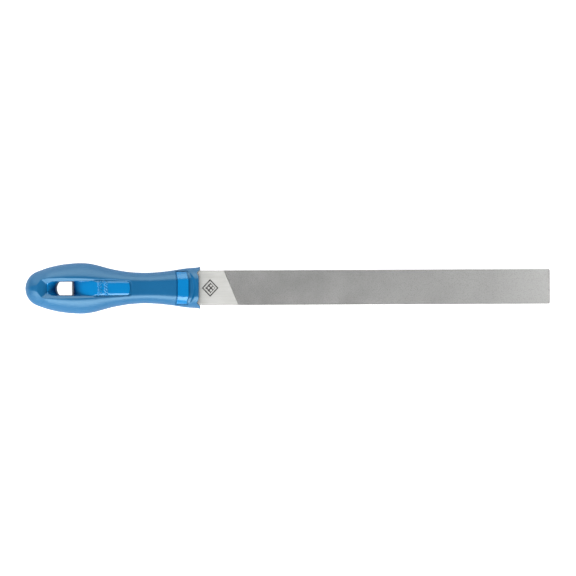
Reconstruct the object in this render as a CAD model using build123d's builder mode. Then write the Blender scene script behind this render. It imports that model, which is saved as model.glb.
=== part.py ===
"""Hand file, flat and blunt, 250 mm long, in a two-shot moulded handle.

Three pieces: a steel file whose tang is driven into a hard plastic core, and a softer grip moulded
over the core. The core shows through the grip at the hang hole, at the thumb pad and at the band
behind the guard. Row frame: +X runs from the butt to the point, +Z is the normal of the upper working
face, and the origin is the middle of the whole tool. Stations s are millimetres from the butt.
"""

import math
import os

from build123d import *

os.makedirs("parts", exist_ok=True)

# ---------------------------------------------------------------- driving dimensions, mm
FILE_LENGTH = 250.0  # cut body, point to shoulder
FILE_WIDTH = 24.6
FILE_THICKNESS = 6.0
POINT_CORNER_R = 0.7
EDGE_BREAK = 0.15
CUT_STEP = 0.12  # the working faces, at the teeth's mean height, lie this far below the ground heel
HEEL_LINE = (145.6, -0.4256)  # heel edge of the cut: its station on the centre line, and its slope in plan
SHOULDER = 120.2  # station of the shoulder
HANDLE_LENGTH = 123.5
TOTAL = SHOULDER + FILE_LENGTH
MID = TOTAL / 2

TANG_LENGTH = 66.0
TANG_ROOT_W, TANG_TIP_W = 13.0, 5.4
TANG_ROOT_T, TANG_TIP_T = 5.4, 2.6
TANG_SHOULDER_R = 3.2
SOCKET_CLEARANCE = 0.35
RIB_BITE = 0.0  # the four crush ribs, squeezed by the driven tang, end on its faces
RIB_Y, RIB_W = 1.7, 0.9
MOUTH_CLEARANCE = 0.15

SKIN_Y = 3.5  # thickness of the grip over the core's sides
SKIN_Z = [(10.0, 6.8), (44.0, 6.8), (58.0, 3.0), (125.0, 3.0)]  # and over its top, by station
CORE_START, CORE_END = 13.0, 119.6
PAD_LOW = 0.10  # the core's show faces lie this far below the grip's surface
GROOVE_DEPTH = 0.65

# Envelope of the handle: station, half width, half thickness, half width of the flat top facet,
# facet corner blend, slope of the flank at the facet in degrees.
ENVELOPE = [
    (0.40, 2.95, 3.00, 0.30, 0.20, 14),
    (1.50, 5.97, 5.70, 0.50, 0.40, 17),
    (3.30, 8.60, 8.00, 0.80, 0.60, 20),
    (6.10, 10.90, 10.00, 1.30, 0.90, 22),
    (9.50, 12.50, 11.15, 2.60, 1.20, 24),
    (14.5, 14.23, 12.20, 5.40, 1.20, 24),
    (22.0, 16.15, 13.22, 7.30, 1.20, 24),
    (30.0, 17.36, 13.70, 7.80, 1.20, 24),
    (38.5, 17.93, 13.43, 7.95, 1.20, 24),
    (46.0, 17.42, 13.19, 7.60, 1.20, 24),
    (54.0, 15.52, 12.50, 6.90, 1.20, 25),
    (62.0, 13.42, 11.50, 6.20, 1.20, 26),
    (70.0, 11.95, 10.70, 5.50, 1.15, 26),
    (78.0, 11.10, 10.20, 5.05, 1.10, 27),
    (86.0, 10.86, 10.00, 4.90, 1.10, 27),
    (94.0, 11.30, 10.10, 5.05, 1.10, 27),
    (102.0, 12.15, 10.40, 5.40, 1.10, 26),
    (110.0, 13.35, 10.90, 5.80, 1.10, 25),
    (117.0, 14.15, 11.40, 6.00, 1.10, 24),
    (HANDLE_LENGTH, 15.00, 12.00, 6.10, 1.10, 24),
]

# Trough and hang hole
HOLE_LEFT, HOLE_RIGHT = 22.44, 33.06
HOLE_END_R = 6.7  # plan radius of the hole's butt end
RAMP_LEFT = (6.4, 11.35)  # ellipse centre station and half height
# Nose at the pad end of the hole: station and half height, from the pad down to the middle plane
NOSE_RIGHT = [(52.0, 12.35), (47.0, 11.9), (42.0, 10.8), (38.0, 9.0), (35.4, 6.2), (33.7, 3.0), (33.06, 0.0)]
# Bevelled rim of the trough: station, half width at z 16, height of the bevel's foot, half width there
TROUGH = [
    (8.0, 15.0, 8.2, 4.00),
    (10.4, 13.9, 8.2, 3.20),
    (13.2, 12.9, 8.2, 2.60),
    (16.0, 12.3, 8.6, 2.10),
    (18.0, 12.3, 10.4, 3.90),
    (20.0, 12.0, 11.3, 4.80),
    (23.0, 11.4, 11.9, 5.05),
    (30.0, 10.8, 12.35, 5.10),
    (38.5, 11.1, 12.15, 5.15),
    (46.0, 11.0, 12.10, 5.20),
    (52.5, 11.3, 12.00, 5.35),
]
WAIST = 0.42  # the hole's walls close in by this much towards the middle plane

# Thumb pad: half widths of the core's tongue and of the grip's window, by station
TONGUE = [(30.0, 5.15), (46.5, 5.25), (50.6, 5.70), (52.0, 5.86), (60.5, 5.70), (73.9, 4.80)]
WINDOW = [(47.5, 5.30), (50.2, 6.40), (61.0, 6.22), (75.3, 5.40)]
TONGUE_END, TONGUE_CORNER_R = 74.8, 1.9
WINDOW_END, WINDOW_CORNER_R = 76.2, 2.4
PAD_FLAT, PAD_BLEND, PAD_SLOPE = 3.4, 0.6, 25  # half width of the pad's flat crown, its blend, and the fall of its sides in degrees
BUTT_TONGUE = (16.1, 4.7, 9.9)  # the core's end under the butt ramp: station, half width, half height
STUD_HEIGHT = 0.45
STUD_L, STUD_W = 2.5, 0.80

# Band behind the guard: stations of its two edges, across the middle and at its ends
BAND_HALF_Y = 11.2
BAND_MIDDLE_Y = 5.4  # the edges run square across this half width, then sweep back
BAND_REAR = (108.3, 106.9)
BAND_FRONT = (116.0, 114.3)
BAND_GROOVE = 0.85

# Guard: rear edge of the lip, and the mouth's outline
SCOOP_CENTRE, SCOOP_R = 106.2, 15.2  # circle of the lip's rear edge in plan: station of its centre, radius
SCOOP_ROWS = [(0.0, 1.5), (4.0, 1.5), (7.0, 1.4), (9.0, 1.1), (10.3, 0.7), (11.2, 0.25)]  # half width, depth
SCOOP_WALL = 1.15  # run of the sloping wall for each millimetre of depth
# The mouth's edge runs square across its middle, on which the tool rests together with its point
MOUTH_MID, MOUTH_NOTCH, EAR_INNER = (123.0, 6.3), (121.45, 10.5), (HANDLE_LENGTH, 12.95)


# ---------------------------------------------------------------- shared constructions
def section_at(s, w, h, f, c, slope):
    """One closed cross-section of the handle at station s, as a sketch."""
    a = math.radians(slope)
    start = (f + c * math.cos(a), h - c * math.sin(a))
    reach = 0.50 * (w - start[0])
    near = (start[0] + reach * math.cos(a), start[1] - reach * math.sin(a))
    side = (w, 0.52 * start[1])
    with BuildSketch(Plane.YZ.offset(s - MID)) as sketch:
        with BuildLine():
            Line((-(f - c), h), (f - c, h))
            Bezier((f - c, h), (f, h), start)
            Bezier(start, near, side, (w, 0))
            Bezier((w, 0), (side[0], -side[1]), (near[0], -near[1]), (start[0], -start[1]))
            Bezier((start[0], -start[1]), (f, -h), (f - c, -h))
            Line((f - c, -h), (-(f - c), -h))
            Bezier((-(f - c), -h), (-f, -h), (-start[0], -start[1]))
            Bezier((-start[0], -start[1]), (-near[0], -near[1]), (-w, -side[1]), (-w, 0))
            Bezier((-w, 0), (-w, side[1]), (-near[0], near[1]), (-start[0], start[1]))
            Bezier((-start[0], start[1]), (-f, h), (-(f - c), h))
        make_face()
    return sketch.sketch


def interpolated(s, k):
    """Value k of ENVELOPE at station s, by straight interpolation."""
    rows = ENVELOPE
    for a, b in zip(rows, rows[1:]):
        if a[0] <= s <= b[0]:
            t = (s - a[0]) / (b[0] - a[0])
            return a[k] + t * (b[k] - a[k])
    return rows[-1][k] if s > rows[-1][0] else rows[0][k]


def skin_at(s):
    """Thickness of the grip over the core's top at station s."""
    for a, b in zip(SKIN_Z, SKIN_Z[1:]):
        if a[0] <= s <= b[0]:
            return a[1] + (s - a[0]) / (b[0] - a[0]) * (b[1] - a[1])
    return SKIN_Z[-1][1]


def inset_section(s, dy, dz):
    """The envelope's section at s, pulled in by dy and dz."""
    return section_at(
        s,
        interpolated(s, 1) - dy,
        interpolated(s, 2) - dz,
        interpolated(s, 3) - 0.25 * dz,
        interpolated(s, 4),
        interpolated(s, 5),
    )


def stations_between(first, last):
    return [first] + [r[0] for r in ENVELOPE if first + 2 < r[0] < last - 2] + [last]


def inset_sections(dy, dz, first, last):
    """Sections of the envelope pulled in by dy and dz, between two stations."""
    return [inset_section(s, dy, dz) for s in stations_between(first, last)]


def pad_sections(low, first, last):
    """Sections with the pad's narrow flat crown and falling sides, low below the envelope's top."""
    return [
        section_at(s, interpolated(s, 1) - low, interpolated(s, 2) - low, PAD_FLAT, PAD_BLEND, PAD_SLOPE)
        for s in stations_between(first, last)
    ]


def plan_points(rows):
    """Closed outline from (station, half width) rows, as X, Y points."""
    upper = [(s - MID, y) for s, y in rows]
    lower = [(s - MID, -y) for s, y in reversed(rows)]
    return upper + lower


def tang_solid(grow):
    """The tang, with every face moved out by grow, as a part. It starts ahead of the shoulder."""
    root, tip = SHOULDER - MID, SHOULDER - TANG_LENGTH - MID
    with BuildPart() as made:
        with BuildSketch(Plane.XY.offset(-6)):
            with BuildLine():
                Polyline(
                    (root + 2, TANG_ROOT_W / 2 + grow),
                    (root, TANG_ROOT_W / 2 + grow),
                    (tip - grow, TANG_TIP_W / 2 + grow),
                    (tip - grow, -TANG_TIP_W / 2 - grow),
                    (root, -TANG_ROOT_W / 2 - grow),
                    (root + 2, -TANG_ROOT_W / 2 - grow),
                    close=True,
                )
            make_face()
        extrude(amount=12)
        with BuildSketch(Plane.XZ.offset(-20)):
            with BuildLine():
                Polyline(
                    (root + 2, TANG_ROOT_T / 2 + grow),
                    (root, TANG_ROOT_T / 2 + grow),
                    (tip - grow, TANG_TIP_T / 2 + grow),
                    (tip - grow, -TANG_TIP_T / 2 - grow),
                    (root, -TANG_ROOT_T / 2 - grow),
                    (root + 2, -TANG_ROOT_T / 2 - grow),
                    close=True,
                )
            make_face()
        extrude(amount=40, mode=Mode.INTERSECT)
    return made.part


# ---------------------------------------------------------------- the handle's outer form
outer_sections = [Vertex(-MID, 0, 0)] + [section_at(*row) for row in ENVELOPE]
with BuildPart() as envelope:
    loft(sections=outer_sections)

show_sections = inset_sections(PAD_LOW, PAD_LOW, 20.0, HANDLE_LENGTH + 1)
with BuildPart() as show_level:
    loft(sections=show_sections)

with BuildPart() as pad_level:
    loft(sections=pad_sections(PAD_LOW, 26.0, 84.0))

with BuildPart() as stud_level:
    loft(sections=pad_sections(PAD_LOW - STUD_HEIGHT, 44.0, 72.0))

groove_sections = inset_sections(GROOVE_DEPTH, GROOVE_DEPTH, 40.0, HANDLE_LENGTH + 1)
with BuildPart() as groove_level:
    loft(sections=groove_sections)

core_sections = [inset_section(s, SKIN_Y, skin_at(s)) for s in stations_between(CORE_START, CORE_END)]
with BuildPart() as core_body:
    loft(sections=core_sections)
    with Locations(((BUTT_TONGUE[0] + 26) / 2 - MID, 0, 0)):
        Box(26 - BUTT_TONGUE[0], 2 * BUTT_TONGUE[1], 2 * BUTT_TONGUE[2])

# ---------------------------------------------------------------- trough and hang hole, as free space
left_a = HOLE_LEFT - RAMP_LEFT[0]
turn = HOLE_LEFT + HOLE_END_R  # station of the axis that the butt end of the hole turns about
with BuildPart() as hole_butt_end:
    with BuildSketch(Plane.XZ) as ramp:
        with BuildLine():
            EllipticalCenterArc(
                (RAMP_LEFT[0] - MID, 0), left_a, RAMP_LEFT[1], start_angle=-90, arc_size=180
            )
            Polyline(
                (RAMP_LEFT[0] - MID, RAMP_LEFT[1]),
                (RAMP_LEFT[0] - MID, 17),
                (turn - MID, 17),
                (turn - MID, -17),
                (RAMP_LEFT[0] - MID, -17),
                (RAMP_LEFT[0] - MID, -RAMP_LEFT[1]),
            )
        make_face()
    revolve(axis=Axis((turn - MID, 0, 0), (0, 0, 1)), revolution_arc=360)

with BuildPart() as hole_pad_end:
    with BuildSketch(Plane.XZ.offset(-12)) as ramp_r:
        with BuildLine():
            nose = [(s - MID, z) for s, z in NOSE_RIGHT] + [(s - MID, -z) for s, z in NOSE_RIGHT[-2::-1]]
            Spline(*nose, tangents=[(-1, 0), (1, 0)])
            Polyline(
                nose[-1],
                (nose[-1][0], -17),
                (turn - MID, -17),
                (turn - MID, 17),
                (nose[0][0], 17),
                nose[0],
            )
        make_face()
    extrude(amount=24)

with BuildPart() as hole_end_limit:
    with Locations((turn - MID - 30, 0, 0)):
        Box(60, 40, 40)

trough_sections = []
for s, top, zb, b in TROUGH:
    with BuildSketch(Plane.YZ.offset(s - MID)) as trough_sketch:
        with BuildLine():
            Polyline(
                (b, zb), (top, 16), (-top, 16), (-b, zb), (WAIST - b, 0),
                (-b, -zb), (-top, -16), (top, -16), (b, -zb), (b - WAIST, 0),
                close=True,
            )
        make_face()
    trough_sections.append(trough_sketch.sketch)

with BuildPart() as trough_walls:
    loft(sections=trough_sections, ruled=True)

with BuildPart() as trough:
    add(hole_butt_end.part)
    add(hole_end_limit.part, mode=Mode.INTERSECT)
    add(hole_pad_end.part)
    add(trough_walls.part, mode=Mode.INTERSECT)

# ---------------------------------------------------------------- plan-shaped prisms for pad, band and guard
def pad_outline(rows, end, radius):
    """Plan outline from its rows, closed at the front by a shallow arc with rounded corners."""
    points = plan_points(rows)
    upper, lower = points[: len(rows)], points[len(rows) :]
    with BuildSketch(Plane.XY.offset(-16)) as sketch:
        with BuildLine():
            Polyline(*upper)
            ThreePointArc(upper[-1], (end - MID, 0), lower[0])
            Polyline(*lower, upper[0])
        make_face()
        fillet(sketch.vertices().group_by(Axis.X)[-1], radius=radius)
    return sketch.sketch


with BuildPart() as tongue_prism:
    add(pad_outline(TONGUE, TONGUE_END, TONGUE_CORNER_R))
    extrude(amount=32)

with BuildPart() as window_prism:
    add(pad_outline(WINDOW, WINDOW_END, WINDOW_CORNER_R))
    extrude(amount=32)


def band_outline(grow):
    """The band's curved plan outline, grown outwards."""
    y, m = BAND_HALF_Y + grow, BAND_MIDDLE_Y
    rear, front = BAND_REAR[0] - grow - MID, BAND_FRONT[0] + grow - MID
    rear_end, front_end = BAND_REAR[1] - grow - MID, BAND_FRONT[1] + grow - MID
    with BuildSketch(Plane.XY.offset(-16)) as sketch:
        with BuildLine():
            Polyline(
                (rear_end, y), (rear, m), (rear, -m), (rear_end, -y),
                (front_end, -y), (front, -m), (front, m), (front_end, y),
                close=True,
            )
        make_face()
        bends = [v for v in sketch.vertices() if abs(v.Y) < BAND_MIDDLE_Y + 0.1]
        fillet(bends, radius=6.0)
    return sketch.sketch


with BuildPart() as band_prism:
    add(band_outline(0.0))
    extrude(amount=32)

with BuildPart() as band_window:
    add(band_outline(BAND_GROOVE))
    extrude(amount=32)

def surface_z(s, y):
    """Height of the handle's upper surface at station s, half width y."""
    w, h, f, c = (interpolated(s, k) for k in (1, 2, 3, 4))
    a = math.radians(interpolated(s, 5))
    start = (f + c * math.cos(a), h - c * math.sin(a))
    if y <= f:
        return h
    if y <= start[0]:
        return h - (y - f) / (start[0] - f) * (h - start[1])
    reach = 0.50 * (w - start[0])
    pts = [start, (start[0] + reach * math.cos(a), start[1] - reach * math.sin(a)), (w, 0.52 * start[1]), (w, 0)]
    low, high = 0.0, 1.0
    for _ in range(40):
        t = (low + high) / 2
        k = [(1 - t) ** 3, 3 * t * (1 - t) ** 2, 3 * t * t * (1 - t), t ** 3]
        if sum(q * p[0] for q, p in zip(k, pts)) < y:
            low = t
        else:
            high = t
    return sum(q * p[1] for q, p in zip(k, pts))


scoop_slices = []
for y, depth in [(-y, d) for y, d in SCOOP_ROWS[:0:-1]] + SCOOP_ROWS:
    edge = SCOOP_CENTRE + math.sqrt(SCOOP_R ** 2 - y * y)
    foot = edge - SCOOP_WALL * depth
    top = surface_z(edge, abs(y))
    with BuildSketch(Plane.XZ.offset(-y)) as scoop_slice:
        with BuildLine():
            Polyline(
                (111.0 - MID, surface_z(111.0, abs(y)) - depth),
                (foot - MID, surface_z(foot, abs(y)) - depth),
                (edge - MID, top),
                (edge + 0.8 - MID, top + 0.7),
                (edge + 0.8 - MID, 16),
                (111.0 - MID, 16),
                close=True,
            )
        make_face()
    scoop_slices.append(scoop_slice.sketch)

with BuildPart() as mouth_notch:
    with BuildSketch(Plane.XY.offset(-16)):
        with BuildLine():
            notch = (MOUTH_NOTCH[0] - MID, MOUTH_NOTCH[1])
            ear = (EAR_INNER[0] - MID, EAR_INNER[1])
            middle = (MOUTH_MID[0] - MID, MOUTH_MID[1])
            TangentArc(middle, notch, tangent=(0, 1))
            Line(middle, (middle[0], -middle[1]))
            TangentArc((middle[0], -middle[1]), (notch[0], -notch[1]), tangent=(0, -1))
            Polyline(
                (notch[0], -notch[1]),
                (ear[0], -ear[1]),
                (ear[0] + 4, -ear[1]),
                (ear[0] + 4, ear[1]),
                ear,
                notch,
            )
        make_face()
    extrude(amount=32)

# ---------------------------------------------------------------- file: one piece of steel
with BuildPart() as file_blade:
    with BuildSketch(Plane.XY.offset(-FILE_THICKNESS / 2)) as body_plan:
        with BuildLine():
            Polyline(
                (SHOULDER - MID, FILE_WIDTH / 2),
                (TOTAL - MID, FILE_WIDTH / 2),
                (TOTAL - MID, -FILE_WIDTH / 2),
                (SHOULDER - MID, -FILE_WIDTH / 2),
                close=True,
            )
        make_face()
        fillet(body_plan.vertices().group_by(Axis.X)[-1], radius=POINT_CORNER_R)
    extrude(amount=FILE_THICKNESS)
    flats = file_blade.faces().filter_by(Axis.Z)
    chamfer(flats.edges().filter_by(lambda e: abs(e.tangent_at(0.5).X) > 0.99), length=EDGE_BREAK)
    for face in (1, -1):
        with BuildSketch(Plane.XY.offset(face * (FILE_THICKNESS / 2 - CUT_STEP))):
            with BuildLine():
                line_x = HEEL_LINE[0] - MID
                Polyline(
                    (line_x + HEEL_LINE[1] * face * 20, 20),
                    (TOTAL - MID + 5, 20),
                    (TOTAL - MID + 5, -20),
                    (line_x - HEEL_LINE[1] * face * 20, -20),
                    close=True,
                )
            make_face()
        extrude(amount=face * 2, mode=Mode.SUBTRACT)
    add(tang_solid(0.0))
    root_edges = file_blade.edges().filter_by(Axis.Z).filter_by_position(
        Axis.X, SHOULDER - MID - 0.01, SHOULDER - MID + 0.01
    ).filter_by_position(Axis.Y, -TANG_ROOT_W / 2 - 0.1, TANG_ROOT_W / 2 + 0.1)
    fillet(root_edges, radius=0.8)
file_blade.part.label = "file_blade"

# ---------------------------------------------------------------- socket for the tang
with BuildPart() as socket:
    add(tang_solid(SOCKET_CLEARANCE))
    for side in (-1, 1):
        with Locations((SHOULDER - MID - TANG_LENGTH / 2 - 2, side * RIB_Y, 0)):
            Box(TANG_LENGTH - 8, RIB_W, 12, mode=Mode.SUBTRACT)
    add(tang_solid(-RIB_BITE))

with BuildPart() as mouth_slot:
    with Locations((SHOULDER - 0.25 - MID + 20, 0, 0)):
        Box(40, FILE_WIDTH + 2 * MOUTH_CLEARANCE, FILE_THICKNESS + 2 * MOUTH_CLEARANCE)

# ---------------------------------------------------------------- raised thumb studs on the pad
with BuildPart() as studs:
    with BuildSketch(Plane.XY.offset(-16)):
        for column, (s, lean) in enumerate([(53.6, 38), (57.9, -38)]):
            for row in range(5):
                y = (row - 2) * 2.05
                with Locations(Location((s - MID, y, 0), (0, 0, lean))):
                    SlotOverall(STUD_L + 0.6, STUD_W)
    extrude(amount=32)
    add(stud_level.part, mode=Mode.INTERSECT)
    with Locations((56 - MID, 0, 0)):
        Box(30, 40, 16, mode=Mode.SUBTRACT)

# ---------------------------------------------------------------- hard core
with BuildPart() as tongue_block:
    add(tongue_prism.part)
    add(pad_level.part, mode=Mode.INTERSECT)

with BuildPart() as band_block:
    add(band_prism.part)
    add(show_level.part, mode=Mode.INTERSECT)

with BuildPart() as handle_core:
    add(core_body.part)
    for s in (78.5, 84.5, 90.5, 96.5):
        with BuildSketch(Plane.YZ.offset(s - MID)) as lock_ring:
            Rectangle(40, 40)
            add(
                inset_section(s, SKIN_Y + 0.8, skin_at(s) + 0.8),
                mode=Mode.SUBTRACT,
            )
        extrude(amount=2.2, mode=Mode.SUBTRACT)
    add(tongue_block.part)
    add(band_block.part)
    add(studs.part)
    add(trough.part, mode=Mode.SUBTRACT)
    add(socket.part, mode=Mode.SUBTRACT)
    add(mouth_slot.part, mode=Mode.SUBTRACT)
handle_core.part.label = "handle_core"

# ---------------------------------------------------------------- grip moulded over the core
with BuildPart() as pad_gap:
    add(window_prism.part)
    add(groove_level.part, mode=Mode.SUBTRACT)

with BuildPart() as band_gap:
    add(band_window.part)
    add(groove_level.part, mode=Mode.SUBTRACT)

with BuildPart() as guard_scoop:
    loft(sections=scoop_slices, ruled=True)
    mirror(about=Plane.XY)

with BuildPart() as grip_overmould:
    add(envelope.part)
    add(mouth_notch.part, mode=Mode.SUBTRACT)
    add(mouth_slot.part, mode=Mode.SUBTRACT)
    add(trough.part, mode=Mode.SUBTRACT)
    add(pad_gap.part, mode=Mode.SUBTRACT)
    add(band_gap.part, mode=Mode.SUBTRACT)
    add(guard_scoop.part, mode=Mode.SUBTRACT)
    add(socket.part, mode=Mode.SUBTRACT)
    add(handle_core.part, mode=Mode.SUBTRACT)
grip_overmould.part.label = "grip_overmould"

# ---------------------------------------------------------------- write
for name, piece in (
    ("file_blade", file_blade.part),
    ("handle_core", handle_core.part),
    ("grip_overmould", grip_overmould.part),
):
    print(name, len(piece.solids()), round(piece.volume, 1), piece.bounding_box().size)
    export_step(piece, f"parts/{name}.step")
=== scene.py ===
import math
import random

import bmesh
import bpy
from mathutils import Matrix, Vector


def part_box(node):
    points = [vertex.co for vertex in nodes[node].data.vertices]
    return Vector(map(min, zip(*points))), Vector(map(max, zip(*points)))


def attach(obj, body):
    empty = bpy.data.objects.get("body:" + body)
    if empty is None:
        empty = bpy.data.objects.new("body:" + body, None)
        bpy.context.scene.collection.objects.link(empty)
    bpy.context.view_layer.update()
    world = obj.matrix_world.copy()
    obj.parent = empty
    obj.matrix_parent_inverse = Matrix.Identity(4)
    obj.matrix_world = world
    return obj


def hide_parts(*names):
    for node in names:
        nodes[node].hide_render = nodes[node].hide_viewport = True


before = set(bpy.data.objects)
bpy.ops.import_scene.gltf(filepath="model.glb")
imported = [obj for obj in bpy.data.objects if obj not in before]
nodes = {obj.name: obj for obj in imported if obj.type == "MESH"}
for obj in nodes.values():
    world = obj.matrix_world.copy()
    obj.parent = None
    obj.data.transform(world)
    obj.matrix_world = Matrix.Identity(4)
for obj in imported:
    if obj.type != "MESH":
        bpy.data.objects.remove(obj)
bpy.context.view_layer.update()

MM = 0.001

# ---------------------------------------------------------------- shared sizes, mm in the row frame
blade_lo, blade_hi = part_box("file_blade")
TIP_X = blade_hi.x / MM
SHOULDER_X = TIP_X - 250.0
HEEL_HW = blade_hi.y / MM  # half width at the heel
POINT_HW = HEEL_HW
THICK = blade_hi.z / MM  # half thickness
TANG_END_X = blade_lo.x / MM


def half_width(x):
    return HEEL_HW + (POINT_HW - HEEL_HW) * (x - SHOULDER_X) / (TIP_X - SHOULDER_X)


# ---------------------------------------------------------------- node helpers
def new_material(name):
    mat = bpy.data.materials.new(name)
    mat.use_nodes = True
    nt = mat.node_tree
    nt.nodes.clear()
    out = nt.nodes.new("ShaderNodeOutputMaterial")
    shader = nt.nodes.new("ShaderNodeBsdfPrincipled")
    nt.links.new(shader.outputs["BSDF"], out.inputs["Surface"])
    return mat, nt, shader


def node(nt, kind, **props):
    n = nt.nodes.new(kind)
    for k, v in props.items():
        setattr(n, k, v)
    return n


def put(nt, target, value):
    if isinstance(value, bpy.types.NodeSocket):
        nt.links.new(value, target)
    else:
        target.default_value = value


def math_node(nt, op, a, b=None, clamp=False):
    n = node(nt, "ShaderNodeMath", operation=op, use_clamp=clamp)
    put(nt, n.inputs[0], a)
    if b is not None:
        put(nt, n.inputs[1], b)
    return n.outputs[0]


def coords(nt, scale=(1, 1, 1), rotation=(0, 0, 0), location=(0, 0, 0)):
    tc = node(nt, "ShaderNodeTexCoord")
    mp = node(nt, "ShaderNodeMapping")
    mp.inputs["Scale"].default_value = scale
    mp.inputs["Rotation"].default_value = rotation
    mp.inputs["Location"].default_value = location
    nt.links.new(tc.outputs["Object"], mp.inputs["Vector"])
    return mp.outputs["Vector"]


def noise_tex(nt, vector, scale, detail=2.0, rough=0.5, distortion=0.0):
    n = node(nt, "ShaderNodeTexNoise")
    nt.links.new(vector, n.inputs["Vector"])
    n.inputs["Scale"].default_value = scale
    n.inputs["Detail"].default_value = detail
    n.inputs["Roughness"].default_value = rough
    n.inputs["Distortion"].default_value = distortion
    return n.outputs["Fac"]


def map_range(nt, value, a, b, c, d, clamp=True):
    n = node(nt, "ShaderNodeMapRange", clamp=clamp)
    put(nt, n.inputs["Value"], value)
    for key, v in (("From Min", a), ("From Max", b), ("To Min", c), ("To Max", d)):
        put(nt, n.inputs[key], v)
    return n.outputs["Result"]


def mix_rgb(nt, fac, a, b, blend="MIX"):
    n = node(nt, "ShaderNodeMix", data_type="RGBA", blend_type=blend)
    put(nt, n.inputs[0], fac)
    put(nt, n.inputs[6], a)
    put(nt, n.inputs[7], b)
    return n.outputs[2]


def bump(nt, height, strength, distance, normal=None):
    n = node(nt, "ShaderNodeBump")
    put(nt, n.inputs["Height"], height)
    put(nt, n.inputs["Strength"], strength)
    n.inputs["Distance"].default_value = distance
    if normal is not None:
        nt.links.new(normal, n.inputs["Normal"])
    return n.outputs["Normal"]


def srgb(r, g, b):
    def lin(c):
        c /= 255
        return c / 12.92 if c <= 0.04045 else ((c + 0.055) / 1.055) ** 2.4

    return (lin(r), lin(g), lin(b), 1.0)


# ---------------------------------------------------------------- plastics
def moulded_plastic(name, colour, deep, rough, spec, tint, flow_scale, grain_scale, grain_depth, painted_recess_shade=None):
    mat, nt, sh = new_material(name)
    along = coords(nt, scale=(0.35, 1.0, 1.0))
    flow = noise_tex(nt, along, flow_scale, 3.0, 0.55, 0.4)
    blotch = noise_tex(nt, coords(nt), 60.0, 2.0, 0.5)
    tone = math_node(nt, "ADD", math_node(nt, "MULTIPLY", flow, 0.6), math_node(nt, "MULTIPLY", blotch, 0.4))
    fac = map_range(nt, tone, 0.35, 0.65, 0.0, 1.0)
    skin = mix_rgb(nt, fac, deep, colour)
    if painted_recess_shade is not None:
        # painted shade: the hollow behind the hang hole is darkened in colour, more the deeper it gets
        x0, x1, z0, z1, shade_colour = painted_recess_shade
        place = node(nt, "ShaderNodeSeparateXYZ")
        nt.links.new(coords(nt), place.inputs[0])
        depth = map_range(nt, math_node(nt, "ABSOLUTE", place.outputs["Z"]), z0, z1, 0.0, 1.0)
        inside = math_node(
            nt, "MULTIPLY", math_node(nt, "GREATER_THAN", place.outputs["X"], x0), math_node(nt, "LESS_THAN", place.outputs["X"], x1)
        )
        skin = mix_rgb(nt, math_node(nt, "MULTIPLY", depth, inside), skin, shade_colour)
    nt.links.new(skin, sh.inputs["Base Color"])
    fine = noise_tex(nt, coords(nt), 1400.0, 2.0, 0.6)
    nt.links.new(
        map_range(nt, math_node(nt, "ADD", math_node(nt, "MULTIPLY", flow, 0.5), math_node(nt, "MULTIPLY", fine, 0.5)),
                  0.3, 0.7, rough - 0.05, rough + 0.06),
        sh.inputs["Roughness"],
    )
    # mould parting line round the middle plane, a few hundredths of a millimetre proud
    tc = node(nt, "ShaderNodeTexCoord")
    sep = node(nt, "ShaderNodeSeparateXYZ")
    nt.links.new(tc.outputs["Object"], sep.inputs[0])
    seam = map_range(nt, math_node(nt, "ABSOLUTE", sep.outputs["Z"]), 0.0, 0.00018, 1.0, 0.0)
    # the texture eroded into the mould, a fifth of a millimetre across, and the slight waviness of the skin
    pits = noise_tex(nt, coords(nt), grain_scale, 2.0, 0.55)
    waves = noise_tex(nt, coords(nt, scale=(0.5, 1.0, 1.0)), 260.0, 2.0, 0.5)
    n0 = bump(nt, waves, 1.0, 0.00002)
    n1 = bump(nt, pits, 1.0, grain_depth, n0)
    n2 = bump(nt, seam, 0.5, 0.00005, n1)
    nt.links.new(n2, sh.inputs["Normal"])
    sh.inputs["Specular IOR Level"].default_value = spec
    sh.inputs["Specular Tint"].default_value = tint
    sh.inputs["IOR"].default_value = 1.48
    return mat


grip_mat = moulded_plastic("grip_elastomer", srgb(0, 92, 142), srgb(0, 86, 134), 0.40, 1.0, (0.56, 0.84, 0.93, 1.0), 40.0, 5200.0, 0.00001)
# the core's last argument paints shade into the hollow behind the hang hole
core_mat = moulded_plastic("core_hard_plastic", srgb(0, 121, 186), srgb(0, 115, 178), 0.22, 0.80, (0.66, 0.93, 0.92, 1.0), 30.0, 7000.0, 0.000004, (-0.156, -0.130, 0.0108, 0.0050, srgb(6, 44, 100)))


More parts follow.
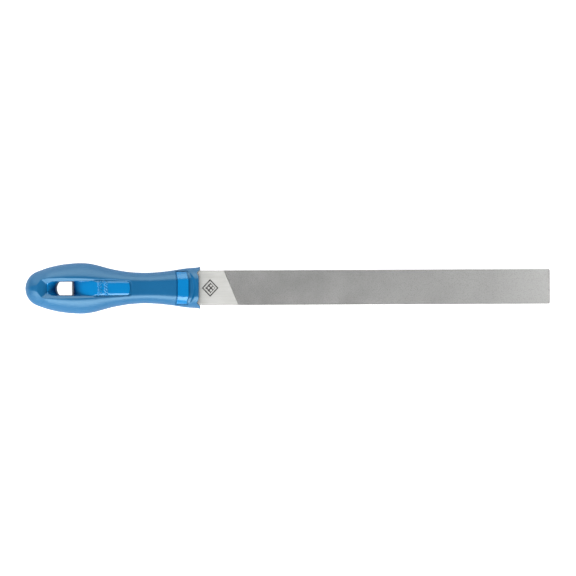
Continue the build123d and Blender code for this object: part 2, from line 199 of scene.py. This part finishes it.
# ---------------------------------------------------------------- steel
def ground_steel(name, mark, light, dark, metal):
    mat, nt, sh = new_material(name)
    sh.inputs["Metallic"].default_value = metal
    lines = noise_tex(nt, coords(nt, scale=(6.0, 260.0, 260.0)), 8.0, 3.0, 0.7)
    cloud = noise_tex(nt, coords(nt), 90.0, 3.0, 0.5)
    base = mix_rgb(nt, map_range(nt, cloud, 0.3, 0.7, 0.0, 1.0), dark, light)
    base = mix_rgb(nt, map_range(nt, lines, 0.35, 0.75, 0.0, 0.35), base, mix_rgb(nt, 0.5, dark, srgb(135, 135, 133)))
    rough = map_range(nt, lines, 0.3, 0.7, 0.48, 0.60)
    if mark:
        tc = node(nt, "ShaderNodeTexCoord")
        sep = node(nt, "ShaderNodeSeparateXYZ")
        nt.links.new(tc.outputs["Object"], sep.inputs[0])
        u = math_node(nt, "DIVIDE", math_node(nt, "SUBTRACT", sep.outputs["X"], MARK_X * MM), MARK_A * MM)
        v = math_node(nt, "DIVIDE", math_node(nt, "SUBTRACT", sep.outputs["Y"], MARK_Y * MM), MARK_B * MM)
        d = math_node(nt, "ADD", math_node(nt, "ABSOLUTE", u), math_node(nt, "ABSOLUTE", v))
        ring = math_node(nt, "LESS_THAN", math_node(nt, "ABSOLUTE", math_node(nt, "SUBTRACT", d, 0.90)), 0.10)
        inside = math_node(nt, "LESS_THAN", d, 0.62)
        a = math_node(nt, "FRACT", math_node(nt, "MULTIPLY", math_node(nt, "ADD", u, v), 1.9))
        b = math_node(nt, "FRACT", math_node(nt, "MULTIPLY", math_node(nt, "SUBTRACT", u, v), 1.9))
        hatch = math_node(nt, "MAXIMUM", math_node(nt, "LESS_THAN", a, 0.38), math_node(nt, "LESS_THAN", b, 0.38))
        shape = math_node(nt, "MAXIMUM", ring, math_node(nt, "MULTIPLY", inside, hatch))
        top = math_node(nt, "GREATER_THAN", sep.outputs["Z"], 0.0)
        worn = map_range(nt, noise_tex(nt, coords(nt), 900.0, 2.0, 0.6), 0.25, 0.55, 0.62, 0.95)
        etch = math_node(nt, "MULTIPLY", math_node(nt, "MULTIPLY", shape, top), worn)
        base = mix_rgb(nt, etch, base, srgb(52, 50, 50))
        rough = math_node(nt, "ADD", rough, math_node(nt, "MULTIPLY", etch, 0.2), clamp=True)
    nt.links.new(base, sh.inputs["Base Color"])
    nt.links.new(rough, sh.inputs["Roughness"])
    nt.links.new(bump(nt, lines, 1.0, 0.00003), sh.inputs["Normal"])
    return mat


def cut_steel(name):
    mat, nt, sh = new_material(name)
    sh.inputs["Metallic"].default_value = 1.0
    cloud = noise_tex(nt, coords(nt), 45.0, 3.0, 0.55)
    speck = noise_tex(nt, coords(nt), 1500.0, 2.0, 0.6)
    base = mix_rgb(nt, map_range(nt, cloud, 0.3, 0.7, 0.0, 1.0), srgb(133, 133, 132), srgb(145, 145, 144))
    # painted light: the teeth are lightened in colour towards the point
    tc = node(nt, "ShaderNodeTexCoord")
    sep = node(nt, "ShaderNodeSeparateXYZ")
    nt.links.new(tc.outputs["Object"], sep.inputs[0])
    painted_light_to_point = math_node(
        nt, "ADD", map_range(nt, sep.outputs["X"], 0.02, 0.15, 0.0, 0.5), map_range(nt, sep.outputs["X"], 0.145, 0.184, 0.0, 0.5)
    )
    base = mix_rgb(nt, painted_light_to_point, base, srgb(169, 169, 168))
    base = mix_rgb(nt, map_range(nt, speck, 0.5, 0.8, 0.0, 0.5), base, srgb(100, 99, 98))
    nt.links.new(base, sh.inputs["Base Color"])
    nt.links.new(map_range(nt, speck, 0.3, 0.7, 0.36, 0.50), sh.inputs["Roughness"])
    nt.links.new(bump(nt, speck, 0.3, 0.00003), sh.inputs["Normal"])
    return mat


MARK_X, MARK_Y, MARK_A, MARK_B = -54.4, -0.1, 5.9, 6.3
heel_mat = ground_steel("ground_steel", True, srgb(151, 151, 149), srgb(145, 145, 142), 0.8)
# the side walls and chamfers take a separate tone of the same ground steel, set for how bright they look under the
# lamps: painted light and shade
edge_mat = ground_steel("ground_edge_steel", False, srgb(158, 158, 157), srgb(151, 151, 150), 1.0)
teeth_mat = cut_steel("cut_teeth_steel")

# ---------------------------------------------------------------- the file: one closed mesh with cut teeth
PEAK_Z = THICK - 0.01
VALLEY_Z = THICK - 0.26
SIDE_Z = THICK - 0.36
INSET = 0.13
LINE_X0, LINE_SLOPE = SHOULDER_X + 25.4, -0.4256  # heel line of the cut: x = LINE_X0 + LINE_SLOPE * y
UPCUT_PITCH, OVERCUT_PITCH, OVERCUT_ANGLE = 0.62, 0.80, 50.0
EDGE_PITCH, EDGE_DEPTH = 0.80, 0.22


def toothed_half(rng):
    """Relief of one working face, clipped to its outline: points, triangles and its boundary loop, mm."""
    a = Vector((LINE_SLOPE, 1.0)).normalized()
    ang = math.radians(OVERCUT_ANGLE)
    b = Vector((math.cos(ang), math.sin(ang)))
    cross = abs(a.x * b.y - a.y * b.x)
    e1 = b * (UPCUT_PITCH / cross)
    e2 = a * (OVERCUT_PITCH / cross)
    y0 = -HEEL_HW - 1.2
    origin = Vector((LINE_X0 + LINE_SLOPE * y0, y0))
    bm = bmesh.new()
    grid = {}

    def lattice(i, j):
        if (i, j) not in grid:
            p = origin + e1 * i + e2 * j
            grid[i, j] = bm.verts.new((p.x, p.y, VALLEY_Z))
        return grid[i, j]

    columns = int((TIP_X + 4 - LINE_X0) / (UPCUT_PITCH / math.sin(math.atan2(1, -LINE_SLOPE)))) + 30
    for i in range(columns):
        shift = -int(i * e1.y / e2.y)
        for j in range(shift - 1, shift + int((2 * HEEL_HW + 3) / e2.y) + 2):
            centre = origin + e1 * (i + 0.5) + e2 * (j + 0.5)
            if centre.x > TIP_X + 1 or abs(centre.y) > HEEL_HW + 1.0:
                continue
            q = [lattice(i, j), lattice(i + 1, j), lattice(i + 1, j + 1), lattice(i, j + 1)]
            p = origin + e1 * (i + 0.74 + rng.uniform(-0.04, 0.04)) + e2 * (j + 0.44 + rng.uniform(-0.05, 0.05))
            top = bm.verts.new((p.x, p.y, PEAK_Z - rng.uniform(0.0, 0.035)))
            for k in range(4):
                bm.faces.new((q[k], q[(k + 1) % 4], top))
    taper = math.atan2(HEEL_HW - POINT_HW, TIP_X - SHOULDER_X)
    hw_tip = POINT_HW
    cuts = [
        (Vector((TIP_X, hw_tip - INSET, 0)), Vector((math.sin(taper), math.cos(taper), 0))),
        (Vector((TIP_X, -hw_tip + INSET, 0)), Vector((math.sin(taper), -math.cos(taper), 0))),
        (Vector((TIP_X - 0.50, 0, 0)), Vector((1, 0, 0))),
        (Vector((TIP_X - 0.50 - 0.35, hw_tip - INSET, 0)), Vector((1, 1, 0)).normalized()),
        (Vector((TIP_X - 0.50 - 0.35, -hw_tip + INSET, 0)), Vector((1, -1, 0)).normalized()),
    ]
    for co, no in cuts:
        bmesh.ops.bisect_plane(
            bm, geom=bm.verts[:] + bm.edges[:] + bm.faces[:], dist=1e-5, plane_co=co, plane_no=no, clear_outer=True
        )
    bmesh.ops.remove_doubles(bm, verts=bm.verts[:], dist=2e-3)
    bmesh.ops.delete(bm, geom=[v for v in bm.verts if not v.link_faces], context="VERTS")
    bm.verts.index_update()
    bm.verts.ensure_lookup_table()
    points = [tuple(v.co) for v in bm.verts]
    faces = [tuple(v.index for v in f.verts) for f in bm.faces]
    follow = {}
    for f in bm.faces:
        for loop in f.loops:
            if len(loop.edge.link_faces) == 1:
                follow[loop.vert.index] = loop.link_loop_next.vert.index
    start = min(follow)
    order = [start]
    while follow[order[-1]] != start:
        order.append(follow[order[-1]])
    assert len(order) == len(follow), (len(order), len(follow))
    bm.free()
    return points, faces, order


def along(p):
    """How far round the outline a point lies: 0 to 1 on the +Y side, to 2 across the tip, to 3 back on the -Y side."""
    x, y = p[0], p[1]
    length = TIP_X - SHOULDER_X
    room = half_width(x) - abs(y)
    if TIP_X - x <= room:
        return 1 + (POINT_HW - y) / (2 * POINT_HW)
    return (x - SHOULDER_X) / length if y > 0 else 2 + (TIP_X - x) / length


def outline(toothed, lean):
    """Plan of the side wall, from the heel on +Y round the tip to the heel on -Y. The toothed side's sign is given."""
    cut_x = LINE_X0 + 2.0
    xs = [SHOULDER_X, cut_x - 14.0]
    x = cut_x - 12.0
    stations = []
    while x < TIP_X - 1.6:
        stations.append((x, 0.0))
        stations.append((x + 0.58 * EDGE_PITCH, 1.0))
        x += EDGE_PITCH
    r = 0.7
    side = {}
    for sign in (1, -1):
        pts = [(v, sign * half_width(v)) for v in xs]
        if sign == toothed:
            for v, high in stations:
                pts.append((v + lean, sign * (half_width(v) - EDGE_DEPTH * (1 - high))))
        else:
            pts += [(v, sign * half_width(v)) for v, high in stations[::6]]
        pts.append((TIP_X - r, sign * half_width(TIP_X - r)))
        side[sign] = pts
    corner = []
    for k in range(1, 4):
        t = math.radians(90 * k / 4)
        corner.append((TIP_X - r + r * math.sin(t), POINT_HW - r + r * math.cos(t)))
    tip = corner + [(TIP_X, y) for y in [POINT_HW - r] + [POINT_HW * 0.5, 0, -POINT_HW * 0.5] + [r - POINT_HW]]
    tip += [(x, -y) for x, y in reversed(corner)]
    return side[1] + tip + side[-1][::-1]


def zipper(inner, outer, t_inner, t_outer):
    """Triangles between two open chains of vertex numbers that run the same way."""
    tris = []
    i = j = 0
    while i < len(inner) - 1 or j < len(outer) - 1:
        if j == len(outer) - 1 or (i < len(inner) - 1 and t_inner[i + 1] <= t_outer[j + 1]):
            tris.append((inner[i], outer[j], inner[i + 1]))
            i += 1
        else:
            tris.append((inner[i], outer[j], outer[j + 1]))
            j += 1
    return tris


def build_blade():
    verts, faces, mats = [], [], []
    TEETH, HEEL, EDGE = 0, 1, 2

    def add_vertex(p, flip):
        verts.append((p[0], -p[1], -p[2]) if flip else (p[0], p[1], p[2]))
        return len(verts) - 1

    def add_face(f, m):
        faces.append(tuple(f))
        mats.append(m)

    halves = []
    rng = random.Random(11)
    for flip in (False, True):
        pts, tris, loop = toothed_half(rng)
        base = len(verts)
        for p in pts:
            add_vertex(p, flip)
        for f in tris:
            add_face([base + k for k in f], TEETH)
        # the boundary loop runs anticlockwise seen from outside: split off the heel line
        on_line = [abs(pts[k][0] - (LINE_X0 + LINE_SLOPE * pts[k][1])) < 0.02 for k in loop]
        n = len(loop)
        first = next(k for k in range(n) if on_line[k] and not on_line[k - 1])
        ring = [loop[(first + k) % n] for k in range(n)]
        count = next(k for k in range(n) if not on_line[(first + k) % n])
        heel_chain = ring[:count]  # down the heel line, from +Y to -Y
        rim = ring[count - 1:] + [ring[0]]  # from the -Y end round the tip to the +Y end
        rim = rim[::-1]
        # heel plateau edge above the line, a little behind it
        ledge = [add_vertex((pts[k][0] - 0.12, pts[k][1], THICK), flip) for k in heel_chain]
        low = [base + k for k in heel_chain]
        for k in range(len(low) - 1):
            add_face((ledge[k], ledge[k + 1], low[k + 1], low[k]), HEEL)
        # plateau
        inset_y = HEEL_HW - INSET
        back = [add_vertex((SHOULDER_X, inset_y, THICK), flip), add_vertex((SHOULDER_X, -inset_y, THICK), flip)]
        middle = [add_vertex((SHOULDER_X, y, THICK), flip) for y in (inset_y * 0.5, 0, -inset_y * 0.5)]
        shoulder_top = [back[0], *middle, back[1]]
        fan_t = [0, 0.25, 0.5, 0.75, 1.0]
        led_t = [k / (len(ledge) - 1) for k in range(len(ledge))]
        for f in zipper(shoulder_top, ledge, fan_t, led_t):
            add_face(f, HEEL)
        # outer wall chain
        toothed = -1 if flip else 1
        plan = outline(toothed, -0.55 if flip else 0.55)
        wall = [add_vertex((x, y, SIDE_Z), flip) for x, y in plan]
        inner = [back[0], ledge[0]] + [base + k for k in rim] + [ledge[-1], back[1]]
        p_in = [(SHOULDER_X, inset_y), None] + [pts[k] for k in rim] + [None, (SHOULDER_X, -inset_y)]
        p_in[1], p_in[-2] = pts[rim[0]], pts[rim[-1]]
        t_in = [along(p) for p in p_in]
        t_in[0], t_in[-1] = 0.0, 3.0
        t_out = [along(p) for p in plan]
        t_out[0], t_out[-1] = 0.0, 3.0
        for seq in (t_in, t_out):
            for k in range(1, len(seq)):
                seq[k] = max(seq[k], seq[k - 1])
        for f in zipper(inner, wall, t_in, t_out):
            add_face(f, EDGE)
        halves.append((wall, shoulder_top))
    (wall_a, top_a), (wall_b, top_b) = halves
    # the lower half is turned over, so its chain runs the other way round
    wall_b, top_b = wall_b[::-1], top_b[::-1]
    assert len(wall_a) == len(wall_b)
    for k in range(len(wall_a) - 1):
        add_face((wall_a[k], wall_b[k], wall_b[k + 1], wall_a[k + 1]), EDGE)
    # shoulder face and tang
    outer_ring = top_a + [wall_a[-1], wall_b[-1]] + top_b[::-1] + [wall_b[0], wall_a[0]]
    tang = []
    for x, w, t in (
        (SHOULDER_X, 6.5, 2.7), (SHOULDER_X - 1.2, 6.3, 2.68),
        (TANG_END_X + 3, 2.9, 1.42), (TANG_END_X, 2.7, 1.3),
    ):
        c = min(0.5, t * 0.3)
        ring = [
            (x, w - c, t), (x, -w + c, t), (x, -w, t - c), (x, -w, -t + c),
            (x, -w + c, -t), (x, w - c, -t), (x, w, -t + c), (x, w, t - c),
        ]
        tang.append([add_vertex(p, False) for p in ring])
    # outer_ring has 14 points: five along the top, two down the side, five back, two up
    match = [0, 0, 0, 1, 1, 2, 3, 4, 4, 4, 5, 5, 6, 7]
    n_out = len(outer_ring)
    for k in range(n_out):
        a, b = outer_ring[k], outer_ring[(k + 1) % n_out]
        ia, ib = tang[0][match[k]], tang[0][match[(k + 1) % n_out]]
        if ia == ib:
            add_face((a, ia, b), EDGE)
        else:
            add_face((a, ia, ib, b), EDGE)
    for r0, r1 in zip(tang, tang[1:]):
        for k in range(8):
            add_face((r0[k], r1[k], r1[(k + 1) % 8], r0[(k + 1) % 8]), EDGE)
    add_face(tang[-1], EDGE)
    mesh = bpy.data.meshes.new("file_blade_cut")
    mesh.from_pydata([(x * MM, y * MM, z * MM) for x, y, z in verts], [], faces)
    for m in (teeth_mat, heel_mat, edge_mat):
        mesh.materials.append(m)
    mesh.polygons.foreach_set("material_index", mats)
    bm = bmesh.new()
    bm.from_mesh(mesh)
    bmesh.ops.recalc_face_normals(bm, faces=bm.faces[:])
    open_edges = sum(1 for e in bm.edges if len(e.link_faces) != 2)
    volume = bm.calc_volume(signed=True)
    if volume < 0:
        bmesh.ops.reverse_faces(bm, faces=bm.faces[:])
    print("blade faces", len(bm.faces), "open edges", open_edges, "volume mm3", volume * 1e9)
    bm.to_mesh(mesh)
    bm.free()
    mesh.update()
    obj = bpy.data.objects.new("file_blade_cut", mesh)
    bpy.context.scene.collection.objects.link(obj)
    return obj


blade = build_blade()
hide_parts("file_blade")
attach(blade, "root")

# ---------------------------------------------------------------- handle: the moulded pieces, with every edge rounded as a mould leaves it
def moulded_piece(source, name, mat, voxel, passes, faces):
    """A closed copy of a CAD piece, remeshed finely, relaxed so that its edges round over, and thinned again."""
    obj = bpy.data.objects.new(name, nodes[source].data.copy())
    bpy.context.scene.collection.objects.link(obj)
    obj.data.materials.clear()
    obj.data.materials.append(mat)
    bm = bmesh.new()
    bm.from_mesh(obj.data)
    bmesh.ops.remove_doubles(bm, verts=bm.verts[:], dist=1e-7)
    bm.to_mesh(obj.data)
    bm.free()
    remesh = obj.modifiers.new("remesh", "REMESH")
    remesh.mode = "VOXEL"
    remesh.voxel_size = voxel * MM
    remesh.adaptivity = 0.0
    relax = obj.modifiers.new("relax", "SMOOTH")
    relax.factor, relax.iterations = 0.5, passes
    thin = obj.modifiers.new("thin", "DECIMATE")
    dg = bpy.context.evaluated_depsgraph_get()
    thin.show_viewport = False
    count = len(obj.evaluated_get(dg).data.polygons) * 2
    thin.show_viewport = True
    thin.ratio = min(1.0, faces / max(count, 1))
    dg = bpy.context.evaluated_depsgraph_get()
    mesh = bpy.data.meshes.new_from_object(obj.evaluated_get(dg))
    obj.modifiers.clear()
    obj.data = mesh
    for p in mesh.polygons:
        p.use_smooth = True
    print(name, "triangles before", count, "after", sum(len(p.vertices) - 2 for p in mesh.polygons))
    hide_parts(source)
    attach(obj, "root")
    return obj


grip = moulded_piece("grip_overmould", "grip_moulding", grip_mat, 0.22, 4, 200000)
core = moulded_piece("handle_core", "core_moulding", core_mat, 0.22, 4, 160000)

# ---------------------------------------------------------------- studio
GUARD_X, GUARD_LOW, POINT_LOW = -62.1, -11.96, -3.0  # the tool rests on the mouth's lower edge and on its point
FLOOR_TILT = math.atan2(POINT_LOW - GUARD_LOW, TIP_X - GUARD_X)
floor_mesh = bpy.data.meshes.new("floor")
fb = bmesh.new()
bmesh.ops.create_grid(fb, x_segments=8, y_segments=8, size=3.0)
fb.to_mesh(floor_mesh)
fb.free()
floor = bpy.data.objects.new("floor", floor_mesh)
bpy.context.scene.collection.objects.link(floor)
floor.location = (GUARD_X * MM, 0, (GUARD_LOW - 0.15) * MM)
floor.rotation_euler = (0, -FLOOR_TILT, 0)
mat, nt, sh = new_material("floor_paper")
sh.inputs["Roughness"].default_value = 0.9
paper = noise_tex(nt, coords(nt), 300.0, 2.0, 0.5)
nt.links.new(mix_rgb(nt, paper, srgb(206, 206, 206), srgb(214, 214, 214)), sh.inputs["Base Color"])
sh.inputs["Specular IOR Level"].default_value = 0.1
sh.inputs["Emission Color"].default_value = (1, 1, 1, 1)
seen = node(nt, "ShaderNodeLightPath")
direct = math_node(nt, "MULTIPLY", seen.outputs["Is Camera Ray"], 0.97)
mirrored = math_node(nt, "MULTIPLY", seen.outputs["Is Glossy Ray"], 0.35)
nt.links.new(math_node(nt, "MAXIMUM", direct, mirrored), sh.inputs["Emission Strength"])
floor.data.materials.append(mat)


def area(name, loc, aim, size, size_y, power):
    data = bpy.data.lights.new(name, "AREA")
    data.shape = "RECTANGLE"
    data.size, data.size_y, data.energy = size, size_y, power
    obj = bpy.data.objects.new(name, data)
    obj.location = loc
    obj.rotation_euler = (Vector(aim) - Vector(loc)).to_track_quat("-Z", "Y").to_euler()
    obj.visible_camera = False
    bpy.context.scene.collection.objects.link(obj)
    return obj


area("softbox_front", (-0.40, -1.18, 0.82), (-0.15, 0, 0), 2.8, 1.0, 57)
area("softbox_back", (-0.30, 1.29, 0.58), (-0.15, 0, 0), 2.5, 1.15, 30)
top_box = area("softbox_top", (0.05, 0, 2.4), (0.05, 0, 0), 1.6, 1.0, 40.0)
# the box overhead is flagged off from the handle
lit = bpy.data.collections.new("steel_only")
lit.objects.link(blade)
top_box.light_linking.receiver_collection = lit

world = bpy.data.worlds.new("studio")
bpy.context.scene.world = world
world.use_nodes = True
bg = world.node_tree.nodes["Background"]
bg.inputs["Color"].default_value = (1.0, 1.0, 1.0, 1)
sky = node(world.node_tree, "ShaderNodeLightPath")
put(world.node_tree, bg.inputs["Strength"], map_range(world.node_tree, sky.outputs["Is Camera Ray"], 0.0, 1.0, 0.11, 0.97))

cam_data = bpy.data.cameras.new("camera")
cam = bpy.data.objects.new("camera", cam_data)
bpy.context.scene.collection.objects.link(cam)
HEIGHT = 1.6
cam_data.sensor_width = 36.0
cam_data.lens = 36.0 * HEIGHT / (576 * 0.0007064)
cam_data.clip_start, cam_data.clip_end = 0.05, 20
cam.location = (0.00050, -0.00036, HEIGHT)
cam.rotation_euler = (0, 0, math.radians(-0.25))
bpy.context.scene.camera = cam

scene = bpy.context.scene
scene.view_settings.view_transform = "Standard"
scene.view_settings.look = "None"
